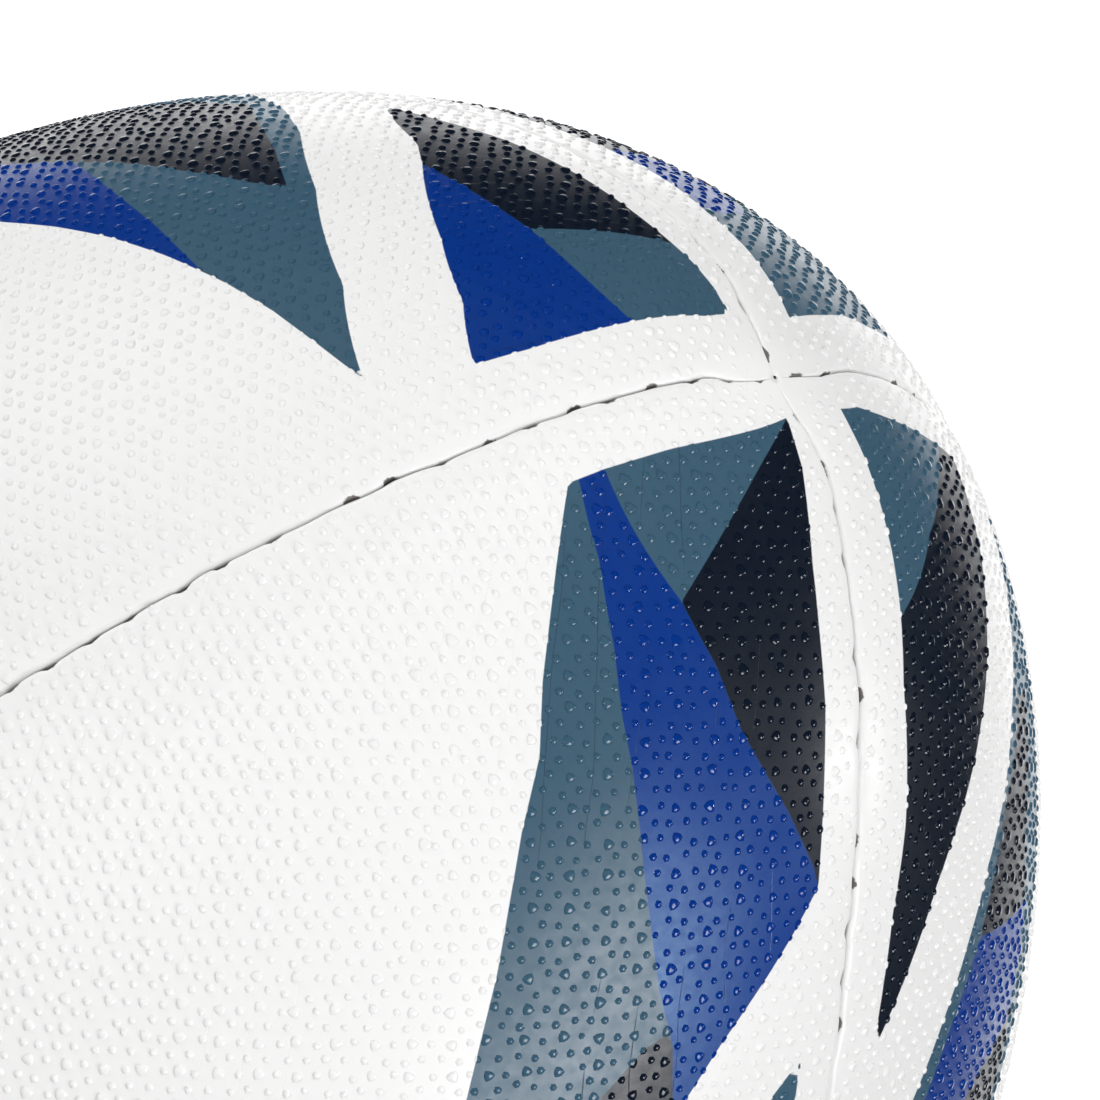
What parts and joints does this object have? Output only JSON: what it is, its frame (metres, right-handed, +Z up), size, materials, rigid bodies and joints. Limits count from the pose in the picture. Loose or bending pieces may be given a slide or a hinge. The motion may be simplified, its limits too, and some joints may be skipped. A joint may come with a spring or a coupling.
{
  "type": "rugby ball",
  "caption": "Oval inflated ball with pimpled rubber cover panels sewn along meridian seams over fabric plies, a bladder and a needle valve.",
  "frame": {"origin": "the centre of the ball, halfway between its two tips", "axes": "+X runs along the long axis, from tip to tip. +Z goes up through the middle of one cover panel, with the ball lying on its side, so the seams lie halfway between the Y and Z axes. -Y goes out through the valve."},
  "size_m": [0.29, 0.1896, 0.19],
  "materials": {
    "skin_rubber": "satin white pimpled rubber, printed with blue-grey, royal blue and near-black blocks",
    "ply_fabric": "woven cotton and polyester backing",
    "seam_thread": "waxed thread",
    "bladder_rubber": "smooth black rubber",
    "boot_rubber": "moulded rubber",
    "patch_fabric": "rubbered fabric",
    "plug_rubber": "soft rubber core"
  },
  "bodies": {
    "root": {"skin_top": "skin_rubber", "skin_left": "skin_rubber", "skin_right": "skin_rubber", "skin_bottom": "skin_rubber", "ply_1_top": "ply_fabric", "ply_1_left": "ply_fabric", "ply_1_right": "ply_fabric", "ply_1_bottom": "ply_fabric", "ply_2_top": "ply_fabric", "ply_2_left": "ply_fabric", "ply_2_right": "ply_fabric", "ply_2_bottom": "ply_fabric", "ply_3_top": "ply_fabric", "ply_3_left": "ply_fabric", "ply_3_right": "ply_fabric", "ply_3_bottom": "ply_fabric", "thread_left_top": "seam_thread", "thread_top_right": "seam_thread", "thread_right_bottom": "seam_thread", "thread_bottom_left": "seam_thread", "bladder": "bladder_rubber", "valve_boot": "boot_rubber", "valve_patch": "patch_fabric", "valve_plug": "plug_rubber"}
  },
  "joints": []
}
